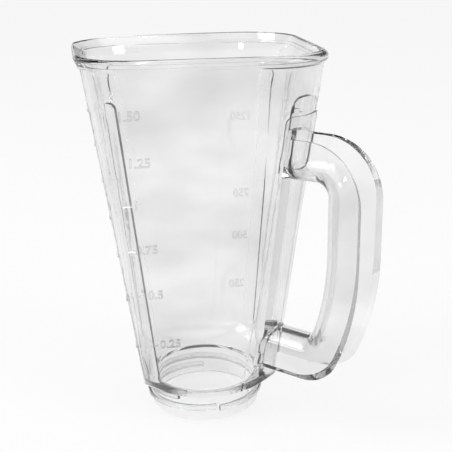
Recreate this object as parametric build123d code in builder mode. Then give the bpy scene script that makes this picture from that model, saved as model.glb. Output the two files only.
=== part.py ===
"""Clear moulded jar for a kitchen blender: a square mouth that tapers to a round threaded neck.

The jar is one injection-moulded piece. Its frame stands on the ring of the neck, with +Z up through
the mouth, +X towards the handle corner and -X towards the pouring corner.
"""

import os
from math import acos, asin, degrees, radians, sin, sqrt

from build123d import *

# Body, measured from the axis to the middle of a flat side
jar_height = 220.0
mouth_half_side = 65.9
mouth_corner_radius = 36.0
foot_level = 24.0
foot_half_side = 38.8
foot_corner_radius = 12.0
wall = 3.0

# Round bowl that the four sides run into, one arc for the inside and one for the outside
bowl_centre_radius = 22.0
bowl_centre_level = 52.0
bowl_radius = 32.6
bowl_wall = 4.6
bowl_opening_angle = 70.0

# Neck that takes the screw ring
neck_bore_radius = 30.7
neck_foot_radius = 33.2
neck_top_radius = 34.8
neck_edge_radius = 0.8
neck_throat_radius = 2.2
neck_shoulder_radius = 0.8

# Mouth
spout_height = 11.0
spout_reach = 15.5
spout_corner_radius = 40.0
spout_curve = 2.5
spout_steps = 4
lip_height = 2.2
lip_edge_radius = 1.4
lid_seat_depth = 4.2
lid_seat_step = 0.7
collar_height = 4.4
collar_step = 0.7
thumb_tab_reach = 1.8
thumb_tab_height = 6.0
thumb_tab_edge_radius = 2.6

# Ribs on the inside of the corners, which break the swirl of the liquid
rib_top_drop = 22.0
rib_width = 8.4
rib_proud = 1.8
rib_corner_radius = 3.2
handle_rib_width = 21.0
handle_rib_proud = 2.2
handle_rib_corner_radius = 7.5

# Pad on the outside of the corner that carries the handle
pad_top_drop = 30.0
pad_margin = 3.0
pad_step = 0.7
pad_corner_radius = 4.0

# Handle, an open channel swept along the line that the fingers close on
handle_width = 24.0
handle_wall = 3.0
handle_web = 4.0
handle_sweep_depth = 34.0
handle_root_radius = 1.2
finger_top_level = 152.4
finger_reach = 89.0
finger_top_radius = 6.0
finger_straight = 32.0
finger_bow_radius = 140.0
finger_heel_radius = 3.0
finger_bottom_level = 62.8

# Inner edge of the channel's rim
rim_top_level = 175.8
rim_reach = 110.8
rim_top_radius = 31.0
rim_straight = 27.0
rim_bow_radius = 150.0
rim_heel_radius = 27.0
rim_bottom_level = 41.5

# Outer edge of the same rim, which leans away from the inner edge round the heel of the hand
brim_top_rise = 0.4
brim_overhang = 2.4
brim_top_radius = 32.5
brim_straight = 32.0
brim_bow_radius = 140.0
brim_heel_radius = 24.3
brim_bottom_drop = 1.2

spout_level = jar_height - spout_height
rib_top_level = jar_height - rib_top_drop
pad_top_level = jar_height - pad_top_drop
pad_width = handle_width + 2 * pad_margin
brim_top_level = rim_top_level + brim_top_rise
brim_reach = rim_reach + brim_overhang
brim_bottom_level = rim_bottom_level - brim_bottom_drop
collar_top = jar_height - lip_height
collar_bottom = collar_top - collar_height
far_out = 2 * mouth_half_side
plate_thickness = pad_width
channel_half_width = handle_width / 2 - handle_wall


def half_side(level):
    """Distance from the axis to the flat sides at a level, which falls evenly towards the foot."""
    slope = (mouth_half_side - foot_half_side) / (jar_height - foot_level)
    return foot_half_side + slope * (level - foot_level)


def corner_radius(level, inset):
    """Radius of the corners at a level, that far inside the outer face."""
    slope = (mouth_corner_radius - foot_corner_radius) / (jar_height - foot_level)
    return foot_corner_radius + slope * (level - foot_level) - inset


def spout_rise(level):
    """Share of the pouring corner's flare at a level, which grows in a curve above the spout's start."""
    return max(0.0, (level - spout_level) / (jar_height - spout_level)) ** spout_curve


def corner_reach(level, inset):
    """Distance from the axis to the point of a corner at a level, that far inside the outer face."""
    radius = corner_radius(level, inset)
    return (half_side(level) - inset - radius) * sqrt(2) + radius


def square_section(level, inset):
    """The rounded square of the body at a level, with its corners on the X and Y axes."""
    reach = (half_side(level) - inset) * sqrt(2)
    flare = spout_reach * spout_rise(level)
    radius = corner_radius(level, inset)
    spout_radius = radius + (spout_corner_radius - mouth_corner_radius) * spout_rise(level)
    with BuildSketch(Plane.XY.offset(level)) as section:
        with BuildLine():
            Polyline((reach, 0), (0, reach), (-reach - flare, 0), (0, -reach), close=True)
        make_face()
        corners = section.vertices().sort_by(Axis.X)
        fillet(corners[1:], radius)
        fillet(section.vertices().sort_by(Axis.X)[0], spout_radius)
    return section.sketch


def tapered_body(inset):
    """The four tapering sides up to the spout's start, then the flare of the spout up to the mouth."""
    loft([square_section(level, inset) for level in (0, spout_level)], ruled=True)
    rise = (jar_height - spout_level) / spout_steps
    loft([square_section(spout_level + step * rise, inset) for step in range(spout_steps + 1)])


def round_foot(foot_radius, top_radius, radius, throat_radius):
    """Trims what stands to a round neck that opens into a round bowl of the given radius."""
    start = -degrees(acos((top_radius - bowl_centre_radius) / radius))
    throat = (top_radius, bowl_centre_level + radius * sin(radians(start)))
    with BuildSketch(Plane.XZ) as profile:
        with BuildLine():
            Polyline((0, jar_height), (0, 0), (foot_radius, 0), throat)
            side = CenterArc(
                (bowl_centre_radius, bowl_centre_level), radius, start, bowl_opening_angle - 90 - start
            )
            edge = side @ 1
            Polyline(edge, (far_out, edge.Y), (far_out, jar_height), (0, jar_height))
        make_face()
        fillet(profile.vertices().sort_by_distance(throat)[0], throat_radius)
    revolve(profile.sketch, axis=Axis.Z, mode=Mode.INTERSECT)


def grip_line(top_level, reach, top_radius, straight, bow_radius, heel_radius, bottom_level):
    """Draws one line of the handle's side view: out from the body, down the grip and back in again."""
    upper = Line((handle_root, top_level), (reach - top_radius, top_level))
    bend = JernArc(upper @ 1, upper % 1, top_radius, -90)
    grip = Line(bend @ 1, bend @ 1 + (bend % 1) * straight)
    drop = top_level - top_radius - straight - bottom_level
    turn = degrees(asin((drop - heel_radius) / (bow_radius - heel_radius)))
    bow = JernArc(grip @ 1, grip % 1, bow_radius, -turn)
    heel = JernArc(bow @ 1, bow % 1, heel_radius, turn - 90)
    Line(heel @ 1, (handle_root, bottom_level))


def rim_face(offset, top_level, reach, top_radius, straight, bow_radius, heel_radius, bottom_level):
    """Everything outside one line of the handle, in the plane that far to the side of its middle."""
    with BuildSketch(Plane.XZ.offset(offset)) as face:
        with BuildLine():
            grip_line(top_level, reach, top_radius, straight, bow_radius, heel_radius, bottom_level)
            Polyline(
                (handle_root, bottom_level),
                (handle_root, 0),
                (far_out, 0),
                (far_out, jar_height),
                (handle_root, jar_height),
                (handle_root, top_level),
            )
        make_face()
    return face.sketch


def corner_plane(level, inset, sink):
    """A plane that lies along the +X corner, sunk below its face, with its Y up the corner."""
    reach = corner_reach(level, inset)
    run = Vector(reach - corner_reach(foot_level, inset), 0, level - foot_level)
    return Plane(origin=(reach - sink, 0, level), x_dir=(0, 1, 0), z_dir=(run.Z, 0, -run.X))


def corner_plate(plane, width, top_radius):
    """A plate with rounded upper corners that hangs down a corner plane until it ends in the bowl's wall."""
    length = rib_top_level - foot_level
    with BuildSketch(plane) as face:
        with Locations((0, -length / 2)):
            Rectangle(width, length)
        fillet(face.vertices().group_by(Axis.Y)[-1], top_radius)
    extrude(face.sketch, amount=plate_thickness)


# The handle's lines start inside the wall of the jar
handle_root = half_side(foot_level)

# Outside of the body and its neck, still filled
with BuildPart() as envelope:
    tapered_body(0)
    round_foot(neck_foot_radius, neck_top_radius, bowl_radius + bowl_wall, neck_shoulder_radius)
    fillet(envelope.edges().filter_by(GeomType.CIRCLE).sort_by(Axis.Z)[0], neck_edge_radius)
    fillet(envelope.edges().group_by(Axis.Z)[-1], lip_edge_radius)

# Collar under the lip, drawn out to a thumb tab over the handle
with BuildPart() as collar:
    loft([square_section(level, -collar_step) for level in (collar_bottom, collar_top)], ruled=True)

with BuildPart() as thumb_tab:
    tab_radius = corner_radius(collar_top, 0)
    tab_centre = corner_reach(collar_top, 0) + thumb_tab_reach - tab_radius
    with BuildSketch(Plane.XY.offset(collar_bottom)):
        with Locations((tab_centre, 0)):
            Circle(tab_radius)
    extrude(amount=thumb_tab_height)
    fillet(thumb_tab.edges().filter_by(GeomType.CIRCLE), thumb_tab_edge_radius)

# Inside of the body, its bowl and the bore of its neck
with BuildPart() as cavity:
    tapered_body(wall)
    round_foot(neck_bore_radius, neck_bore_radius, bowl_radius, neck_throat_radius)
    # The lip is thinner above the seat of the lid
    seat_levels = (jar_height - lid_seat_depth, jar_height)
    loft([square_section(level, wall - lid_seat_step) for level in seat_levels], ruled=True)

# Channel handle, first with walls that stand too tall
with BuildPart() as handle:
    with BuildLine(Plane.XZ) as finger_line:
        grip_line(
            finger_top_level,
            finger_reach,
            finger_top_radius,
            finger_straight,
            finger_bow_radius,
            finger_heel_radius,
            finger_bottom_level,
        )
    section_plane = Plane(origin=finger_line.line @ 0, x_dir=(0, 1, 0), z_dir=finger_line.line % 0)
    with BuildSketch(section_plane) as channel:
        with Locations((0, handle_width / 2)):
            Circle(handle_width / 2)
        with Locations((0, (handle_width / 2 + handle_sweep_depth) / 2)):
            Rectangle(handle_width, handle_sweep_depth - handle_width / 2)
        with Locations((0, handle_web + channel_half_width)):
            Circle(channel_half_width, mode=Mode.SUBTRACT)
        with Locations((0, (handle_web + channel_half_width + handle_sweep_depth) / 2)):
            Rectangle(
                2 * channel_half_width,
                handle_sweep_depth - handle_web - channel_half_width,
                mode=Mode.SUBTRACT,
            )
    sweep()

# What is taken off one wall to leave the slanted face of its rim
with BuildPart() as rim_cut:
    rim = rim_face(
        channel_half_width,
        rim_top_level,
        rim_reach,
        rim_top_radius,
        rim_straight,
        rim_bow_radius,
        rim_heel_radius,
        rim_bottom_level,
    )
    brim = rim_face(
        handle_width / 2,
        brim_top_level,
        brim_reach,
        brim_top_radius,
        brim_straight,
        brim_bow_radius,
        brim_heel_radius,
        brim_bottom_level,
    )
    loft([rim, brim], ruled=True)

with BuildPart() as trimmed_handle:
    add(handle.part)
    add(rim_cut.part, mode=Mode.SUBTRACT)
    add(mirror(rim_cut.part, about=Plane.XZ, mode=Mode.PRIVATE), mode=Mode.SUBTRACT)

# Ribs in the four inner corners, the one behind the handle wider than the rest
with BuildPart() as handle_rib:
    corner_plate(
        corner_plane(rib_top_level, wall, handle_rib_proud), handle_rib_width, handle_rib_corner_radius
    )

with BuildPart() as plain_rib:
    corner_plate(corner_plane(rib_top_level, wall, rib_proud), rib_width, rib_corner_radius)

with BuildPart() as ribs:
    add(handle_rib.part)
    for turn in (90, 180, 270):
        add(plain_rib.part.rotate(Axis.Z, turn))
    add(envelope.part, mode=Mode.INTERSECT)

# Pad that stands a little proud of the handle corner
with BuildPart() as raised_body:
    tapered_body(-pad_step)
    round_foot(neck_foot_radius, neck_top_radius, bowl_radius + bowl_wall, neck_shoulder_radius)

with BuildPart() as pad:
    corner_plate(corner_plane(pad_top_level, 0, pad_width / 2), pad_width, pad_corner_radius)
    add(raised_body.part, mode=Mode.INTERSECT)

with BuildPart() as jar:
    add(envelope.part)
    add(collar.part)
    add(thumb_tab.part)
    add(pad.part)
    add(trimmed_handle.part)
    # The handle flows into the body all round, except at the upper ends of its rim
    highest = rim_top_level - handle_wall
    fillet(jar.edges(Select.NEW).filter_by_position(Axis.Z, 0, highest), handle_root_radius)
    add(cavity.part, mode=Mode.SUBTRACT)
    add(ribs.part)

jar.part.label = "jar"
os.makedirs("parts", exist_ok=True)
export_step(jar.part, "parts/jar.step")
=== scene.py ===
# %% [markdown]
# # A clear blender jar
# The jar is one moulding of clear plastic: a square mouth with a pouring corner, four sides that taper to
# a round neck, and a handle that is an open channel. The solid already has all of these forms, and its own
# mesh is left as it is. This lesson adds what a mould leaves on such a jar, the screw thread and the scales,
# then a clear plastic, a studio and a camera.

# %% Load the solid
from math import cos, pi, radians, sin

import bpy
from mathutils import Matrix, Vector


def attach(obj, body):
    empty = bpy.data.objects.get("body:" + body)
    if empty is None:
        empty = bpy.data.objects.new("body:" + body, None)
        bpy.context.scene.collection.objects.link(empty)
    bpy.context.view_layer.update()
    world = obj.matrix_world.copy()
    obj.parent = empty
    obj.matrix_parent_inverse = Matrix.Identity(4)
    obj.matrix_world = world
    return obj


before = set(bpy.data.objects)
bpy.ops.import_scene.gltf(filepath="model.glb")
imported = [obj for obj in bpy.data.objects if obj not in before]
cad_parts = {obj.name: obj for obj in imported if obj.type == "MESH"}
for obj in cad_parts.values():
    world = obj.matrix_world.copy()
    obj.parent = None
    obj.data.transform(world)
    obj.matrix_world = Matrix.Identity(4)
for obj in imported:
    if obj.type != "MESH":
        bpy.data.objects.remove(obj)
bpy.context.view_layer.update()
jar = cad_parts["jar"]
MM = 0.001
UP = Vector((0, 0, 1))

# %% [markdown]
# ## The screw thread
# The thread on the neck is coarse: one ridge goes most of the way round, and a second, lower one goes half
# way and stops beside the start of the first. A ridge could be drawn as a curve with a bevel, but the Screw
# modifier is closer to how a thread is cut: it turns one small section and lifts it on the way. The ends stay
# blunt, as a thread of this kind needs something to catch. The ridges are sunk a little into the neck, so no
# gap shows.

# %% Turn two ridges round the neck
RIDGE_CREST = 36.1 * MM
RIDGE_ROOT = 32.4 * MM
RIDGE_HEIGHT = 4.4 * MM
RIDGE_CREST_HEIGHT = 2.2 * MM
RIDGE_LEAD = 8.0 * MM
RIDGE_EDGE = 0.45 * MM
RIDGE_STEP = 4.0
RIDGE_EDGE_STEPS = 2
RIDGE_SHARP = radians(28)
WELD = 0.002 * MM
# Each ridge: the angle where it starts in degrees, its level there in millimetres, and its turn in degrees.
RIDGES = ((-37, 8.2, 319), (130, 5.4, 190))


def thread_ridge(start_angle, start_level, turn):
    """One ridge of the thread, from an angle and a level on the neck, over a turn in degrees."""
    bpy.ops.object.select_all(action="DESELECT")
    bpy.ops.mesh.primitive_plane_add(size=1, rotation=(pi / 2, 0, 0))
    ridge = bpy.context.object
    ridge.scale = (RIDGE_CREST - RIDGE_ROOT, RIDGE_HEIGHT, 1)
    bpy.ops.object.transform_apply(location=True, rotation=True, scale=True)
    for corner in ridge.data.vertices:
        if corner.co.x > 0:
            corner.co.z *= RIDGE_CREST_HEIGHT / RIDGE_HEIGHT
    ridge.location = ((RIDGE_CREST + RIDGE_ROOT) / 2, 0, start_level * MM)
    bpy.ops.object.transform_apply(location=True, rotation=True, scale=True)
    screw = ridge.modifiers.new("turn", "SCREW")
    screw.angle = radians(turn)
    screw.screw_offset = RIDGE_LEAD * turn / 360
    screw.steps = round(turn / RIDGE_STEP)
    screw.render_steps = screw.steps
    bpy.ops.object.modifier_apply(modifier="turn")
    bpy.ops.object.mode_set(mode="EDIT")
    bpy.ops.mesh.select_all(action="SELECT")
    bpy.ops.mesh.remove_doubles(threshold=WELD)
    bpy.ops.mesh.fill_holes(sides=4)
    bpy.ops.mesh.normals_make_consistent(inside=False)
    bpy.ops.object.mode_set(mode="OBJECT")
    ridge.rotation_euler = (0, 0, radians(start_angle))
    bpy.ops.object.transform_apply(location=True, rotation=True, scale=True)
    edge = ridge.modifiers.new("edge", "BEVEL")
    edge.width = RIDGE_EDGE
    edge.segments = RIDGE_EDGE_STEPS
    edge.angle_limit = RIDGE_SHARP
    bpy.ops.object.modifier_apply(modifier="edge")
    bpy.ops.object.shade_smooth_by_angle(angle=RIDGE_SHARP)
    return ridge


def joined(pieces, name):
    """Joins pieces into one object that rides with the jar."""
    bpy.ops.object.select_all(action="DESELECT")
    for piece in pieces:
        piece.select_set(True)
    bpy.context.view_layer.objects.active = pieces[0]
    bpy.ops.object.join()
    whole = bpy.context.object
    whole.name = name
    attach(whole, "root")
    return whole


thread = joined([thread_ridge(*ridge) for ridge in RIDGES], "thread_ridges")
print("thread", len(thread.data.polygons), "faces")

# %% [markdown]
# ## The scales
# The figures stand half a millimetre proud of the sides, because they were cut into the mould. Each one is a
# text object with a small bevel, made a mesh and laid on the leaning side. The front side carries litres, most
# with a bar before the number, the back side millilitres, and the left side plain bars. The spot on a side
# comes from the same slope that the solid has.

# %% Lay figures and bars on the sides
FOOT_LEVEL = 24.0
FOOT_HALF_SIDE = 38.8
MOUTH_LEVEL = 220.0
MOUTH_HALF_SIDE = 65.9
SIDE_SLOPE = (MOUTH_HALF_SIDE - FOOT_HALF_SIDE) / (MOUTH_LEVEL - FOOT_LEVEL)
FIGURE_HEIGHT = 5.0 * MM
FIGURE_HALF_DEPTH = 0.2 * MM
FIGURE_BEVEL = 0.08 * MM
CAPITAL_SHARE = 0.7
FIGURE_BEVEL_STEPS = 1
FIGURE_CURVE_STEPS = 4
SUNK = 0.05 * MM
FIGURE_LIFT = FIGURE_HALF_DEPTH + FIGURE_BEVEL - SUNK
BAR_WIDTH = 0.8 * MM
BAR_EDGE_STEPS = 2


def on_side(side_angle, along, level, lift):
    """Matrix of a spot on a side: X along the side seen from outside, Y up the slope, Z out of it."""
    out = Vector((cos(radians(side_angle)), sin(radians(side_angle)), 0))
    up = (UP + out * SIDE_SLOPE).normalized()
    right = up.cross(out).normalized()
    normal = right.cross(up)
    place = out * (FOOT_HALF_SIDE + SIDE_SLOPE * (level - FOOT_LEVEL)) + right * along
    spot = Matrix((right, up, normal)).transposed().to_4x4()
    spot.translation = Vector((place.x, place.y, level)) * MM + normal * lift
    return spot


def laid(piece, spot):
    """Lays a piece on its spot and closes its mesh."""
    piece.matrix_world = spot
    bpy.ops.object.transform_apply(location=True, rotation=True, scale=True)
    bpy.ops.object.mode_set(mode="EDIT")
    bpy.ops.mesh.select_all(action="SELECT")
    bpy.ops.mesh.remove_doubles(threshold=WELD)
    bpy.ops.mesh.normals_make_consistent(inside=False)
    bpy.ops.object.mode_set(mode="OBJECT")
    return piece


def figures(words, side_angle, along, level):
    """Raised figures with their middle at a spot on a side."""
    bpy.ops.object.select_all(action="DESELECT")
    bpy.ops.object.text_add()
    text = bpy.context.object
    text.data.body = words
    text.data.align_x = "CENTER"
    text.data.align_y = "CENTER"
    text.data.size = FIGURE_HEIGHT / CAPITAL_SHARE
    text.data.extrude = FIGURE_HALF_DEPTH
    text.data.bevel_depth = FIGURE_BEVEL
    text.data.bevel_resolution = FIGURE_BEVEL_STEPS
    text.data.resolution_u = FIGURE_CURVE_STEPS
    bpy.ops.object.convert(target="MESH")
    return laid(text, on_side(side_angle, along, level, FIGURE_LIFT))


def level_bar(side_angle, along, level, length):
    """A raised bar with softened edges that marks a level on a side."""
    bpy.ops.object.select_all(action="DESELECT")
    bpy.ops.mesh.primitive_cube_add(size=1)
    bar = bpy.context.object
    bar.scale = (length * MM, BAR_WIDTH, 2 * (FIGURE_HALF_DEPTH + FIGURE_BEVEL))
    bpy.ops.object.transform_apply(location=False, rotation=False, scale=True)
    edge = bar.modifiers.new("edge", "BEVEL")
    edge.width = FIGURE_BEVEL
    edge.segments = BAR_EDGE_STEPS
    bpy.ops.object.modifier_apply(modifier="edge")
    return laid(bar, on_side(side_angle, along, level, FIGURE_LIFT))


FRONT, BACK, LEFT = -45, 135, -135
LITRES = {
    "0.25": (-23.7, 57.5),
    "0.5": (-31.1, 89.9),
    "0.75": (-35.0, 117.7),
    "1": (-39.7, 143.9),
    "1.25": (-37.3, 167.2),
    "1.50": (-41.7, 192.2),
}
LITRE_BARS = {57.5: -33.0, 89.9: -38.4, 117.7: -42.4, 143.9: -43.9}
LITRE_BAR_LENGTH = 5.0
MILLILITRES = {
    "250": (-27.4, 57.5),
    "500": (-30.6, 89.9),
    "750": (-32.2, 117.7),
    "1250": (-33.7, 167.2),
}
LEFT_LEVELS = (50, 80, 107, 129.5, 151, 171, 190)
LEFT_BAR_LENGTH = 12.0
LEFT_BAR_MIDDLE = 22.5

scale_pieces = [figures(words, FRONT, along, level) for words, (along, level) in LITRES.items()]
scale_pieces += [figures(words, BACK, along, level) for words, (along, level) in MILLILITRES.items()]
scale_pieces += [level_bar(FRONT, along, level, LITRE_BAR_LENGTH) for level, along in LITRE_BARS.items()]
scale_pieces += [level_bar(LEFT, LEFT_BAR_MIDDLE, level, LEFT_BAR_LENGTH) for level in LEFT_LEVELS]
scales = joined(scale_pieces, "scale_marks")
print("scales", len(scales.data.polygons), "faces")

# %% [markdown]
# ## Clear styrene acrylonitrile
# Jars like this are often moulded from styrene acrylonitrile, a hard clear plastic that bends light a little
# more than glass. It could be a glass shader, but a jar in use is never that clean. Its skin copies the
# polished mould, with a breath of haze from washing. Soft grey clouds in its tint are painted reflections of
# the room.
# Its thickness takes away a little light, so the eye sees grey wherever it looks along a wall.


# %% Make the plastic
def linear(hex_colour):
    """Turns a colour written as sRGB hex into the linear values that a shader works with."""
    channels = [int(hex_colour[i:i + 2], 16) / 255 for i in (1, 3, 5)]
    return [c / 12.92 if c <= 0.04045 else ((c + 0.055) / 1.055) ** 2.4 for c in channels] + [1.0]


def add_node(tree, kind, settings=None, links=None):
    """Adds a node, sets its own settings and sockets, and links other nodes' sockets into it."""
    node = tree.nodes.new(kind)
    for name, value in (settings or {}).items():
        if isinstance(name, int) or name in node.inputs:
            node.inputs[name].default_value = value
        else:
            setattr(node, name, value)
    for name, source in (links or {}).items():
        tree.links.new(source, node.inputs[name])
    return node


CLOUD_SIZE = 60 * MM
CLOUD_FLATNESS = 2.0
CLOUD_DETAIL = 1.5
# Greys of the painted reflections, the soft clouds painted into the plastic's tint.
PAINTED_REFLECTION_GREYS = {0.36: "#f0f0f0", 0.6: "#fefefe"}
HAZE_SIZE = 9 * MM
HAZE_DETAIL = 2.0
HAZE_TO_ROUGHNESS = {"From Min": 0.35, "From Max": 0.7, "To Min": 0.012, "To Max": 0.05}
PLASTIC_IOR = 1.57
DEPTH_TINT = "#e7e7e7"
DEPTH_DENSITY = 52.0

plastic = bpy.data.materials.new("clear_styrene_acrylonitrile")
plastic.use_nodes = True
tree = plastic.node_tree
tree.nodes.clear()
place = add_node(tree, "ShaderNodeTexCoord")
# Painted reflections: soft grey clouds in the tint lie in flat swathes, so the pattern is squeezed in height.
squeeze = {"Scale": (1, 1, CLOUD_FLATNESS)}
flat = add_node(tree, "ShaderNodeMapping", squeeze, {"Vector": place.outputs["Object"]})
reflection_cloud_form = {"Scale": 1 / CLOUD_SIZE, "Detail": CLOUD_DETAIL}
reflection_cloud = add_node(tree, "ShaderNodeTexNoise", reflection_cloud_form, {"Vector": flat.outputs["Vector"]})
# The noise becomes grey clouds in the tint: painted reflections, not a property of the plastic.
painted_reflection = add_node(tree, "ShaderNodeValToRGB", {}, {"Fac": reflection_cloud.outputs["Fac"]})
for element, (position, colour) in zip(painted_reflection.color_ramp.elements, PAINTED_REFLECTION_GREYS.items()):
    element.position = position
    element.color = linear(colour)
# Haze from washing comes in small patches that are a little rougher than the polished skin.
haze_form = {"Scale": 1 / HAZE_SIZE, "Detail": HAZE_DETAIL}
haze = add_node(tree, "ShaderNodeTexNoise", haze_form, {"Vector": place.outputs["Object"]})
gloss = add_node(tree, "ShaderNodeMapRange", HAZE_TO_ROUGHNESS, {"Value": haze.outputs["Fac"]})
skin = add_node(
    tree,
    "ShaderNodeBsdfPrincipled",
    {"IOR": PLASTIC_IOR, "Transmission Weight": 1.0},
    {"Base Color": painted_reflection.outputs["Color"], "Roughness": gloss.outputs["Result"]},
)
absorption = {"Color": linear(DEPTH_TINT), "Density": DEPTH_DENSITY}
depth = add_node(tree, "ShaderNodeVolumeAbsorption", absorption)
skin_and_depth = {"Surface": skin.outputs["BSDF"], "Volume": depth.outputs["Volume"]}
add_node(tree, "ShaderNodeOutputMaterial", {}, skin_and_depth)
for piece in (jar, thread, scales):
    if not piece.material_slots:
        piece.data.materials.append(plastic)
    for slot in piece.material_slots:
        slot.material = plastic
print("plastic", plastic.name, "on", jar.name, thread.name, scales.name)

# %% [markdown]
# ## Studio
# Clear things have no shade of their own: they show the room, bent. White paper lies under and far behind the
# jar, and it is the same white to the camera, through the plastic and in its gloss, while real light draws the
# shadow on it. The room is pale at eye level and dim above it, with a broad white panel overhead. Every edge
# that bends the view upwards therefore draws a darker line.

# %% Build the table and the room
PAPER_SIZE = 40.0
PAPER_GLOW = 0.85
PAPER_SHADE = "#f4f4f4"
ROOM_GREYS = {0.0: 1.0, 0.1: 1.0, 0.25: 0.1, 0.7: 0.1, 0.78: 1.0, 1.0: 1.0}

bpy.ops.object.select_all(action="DESELECT")
bpy.ops.mesh.primitive_plane_add(size=PAPER_SIZE)
table = bpy.context.object
table.name = "table"
paper = bpy.data.materials.new("white_paper")
paper.use_nodes = True
tree = paper.node_tree
tree.nodes.clear()
path = add_node(tree, "ShaderNodeLightPath")
bent = {0: path.outputs["Is Glossy Ray"], 1: path.outputs["Is Transmission Ray"]}
by_plastic = add_node(tree, "ShaderNodeMath", {"operation": "MAXIMUM"}, bent)
looks = {0: path.outputs["Is Camera Ray"], 1: by_plastic.outputs[0]}
seen = add_node(tree, "ShaderNodeMath", {"operation": "MAXIMUM"}, looks)
shade = add_node(tree, "ShaderNodeBsdfDiffuse", {"Color": linear(PAPER_SHADE)})
glow = add_node(tree, "ShaderNodeEmission", {"Strength": 1.0})
glow_over_shade = {1: shade.outputs[0], 2: glow.outputs[0]}
white = add_node(tree, "ShaderNodeMixShader", {"Fac": PAPER_GLOW}, glow_over_shade)
white_where_seen = {"Fac": seen.outputs[0], 1: shade.outputs[0], 2: white.outputs[0]}
both = add_node(tree, "ShaderNodeMixShader", {}, white_where_seen)
add_node(tree, "ShaderNodeOutputMaterial", {}, {"Surface": both.outputs[0]})
table.data.materials.append(paper)

room = bpy.data.worlds.new("room")
bpy.context.scene.world = room
room.use_nodes = True
tree = room.node_tree
tree.nodes.clear()
spot = add_node(tree, "ShaderNodeTexCoord")
height = add_node(tree, "ShaderNodeSeparateXYZ", {}, {"Vector": spot.outputs["Generated"]})
ceiling = add_node(tree, "ShaderNodeValToRGB", {}, {"Fac": height.outputs["Z"]})
ceiling.color_ramp.interpolation = "EASE"
while len(ceiling.color_ramp.elements) < len(ROOM_GREYS):
    ceiling.color_ramp.elements.new(0.5)
for element, (position, grey) in zip(ceiling.color_ramp.elements, ROOM_GREYS.items()):
    element.position = position
    element.color = (grey, grey, grey, 1)
soft = add_node(tree, "ShaderNodeBackground", {"Strength": 1.0}, {"Color": ceiling.outputs["Color"]})
add_node(tree, "ShaderNodeOutputWorld", {}, {"Surface": soft.outputs[0]})
print("table", PAPER_SIZE, "m, room", room.name)

# %% [markdown]
# ## Lamps
# Two broad lamps stand for soft boxes, one on each side. A small one close to the camera puts the sparkle on
# the rounded edges and is kept off matt surfaces. Light can run along inside a clear wall and turn many times
# before it leaves, so the path tracer is allowed more turns than usual. Otherwise such edges would come out
# black.


# %% Place the lamps
JAR_MIDDLE = Vector((0, 0, 0.11))
LIGHT_TURNS = 32


def soft_box(name, place, size, power):
    """A square lamp that looks at the middle of the jar."""
    bpy.ops.object.select_all(action="DESELECT")
    bpy.ops.object.light_add(type="AREA", location=place)
    lamp = bpy.context.object
    lamp.name = name
    lamp.data.size = size
    lamp.data.energy = power
    lamp.rotation_euler = (JAR_MIDDLE - Vector(place)).to_track_quat("-Z", "Y").to_euler()
    return lamp


key_lamp = soft_box("key_lamp", (-0.6, -0.9, 1.2), 0.8, 12)
fill_lamp = soft_box("fill_lamp", (1.2, 0.1, 0.8), 0.6, 6)
camera_lamp = soft_box("camera_lamp", (0.36, -0.46, 0.42), 0.12, 6)
camera_lamp.visible_diffuse = False
cycles = bpy.context.scene.cycles
cycles.max_bounces = LIGHT_TURNS
cycles.glossy_bounces = LIGHT_TURNS
cycles.transmission_bounces = LIGHT_TURNS
print("lamps", key_lamp.name, fill_lamp.name, camera_lamp.name)

# %% [markdown]
# ## Camera
# The camera stands half a metre away, a little above the mouth, looking down past the front side with the
# handle to the right. Its place and turn were found by laying the edges of the solid over the photograph.

# %% Place the camera
CAMERA_PLACE = Vector((307.9, -380.3, 272.5)) * MM
VIEW_HEADING = radians(127.25)
CAMERA_PITCH = radians(18.11)
CAMERA_ROLL = radians(0.9)
SENSOR_WIDTH = 36.0
FOCAL_PIXELS = 857.7
PHOTO_WIDTH = 452
FOCAL_SHARE = FOCAL_PIXELS / PHOTO_WIDTH
CLIP_START = 0.01

camera_data = bpy.data.cameras.new("camera")
camera_data.sensor_width = SENSOR_WIDTH
camera_data.lens = SENSOR_WIDTH * FOCAL_SHARE
camera_data.clip_start = CLIP_START
camera = bpy.data.objects.new("camera", camera_data)
bpy.context.scene.collection.objects.link(camera)
level_ahead = Vector((cos(VIEW_HEADING), sin(VIEW_HEADING), 0))
ahead = level_ahead * cos(CAMERA_PITCH) - UP * sin(CAMERA_PITCH)
level_right = ahead.cross(UP).normalized()
level_up = level_right.cross(ahead)
up = level_up * cos(CAMERA_ROLL) + level_right * sin(CAMERA_ROLL)
right = level_right * cos(CAMERA_ROLL) - level_up * sin(CAMERA_ROLL)
pose = Matrix((right, up, -ahead)).transposed().to_4x4()
pose.translation = CAMERA_PLACE
camera.matrix_world = pose
bpy.context.scene.camera = camera
bpy.context.scene.view_settings.view_transform = "Standard"
print("camera at", CAMERA_PLACE)
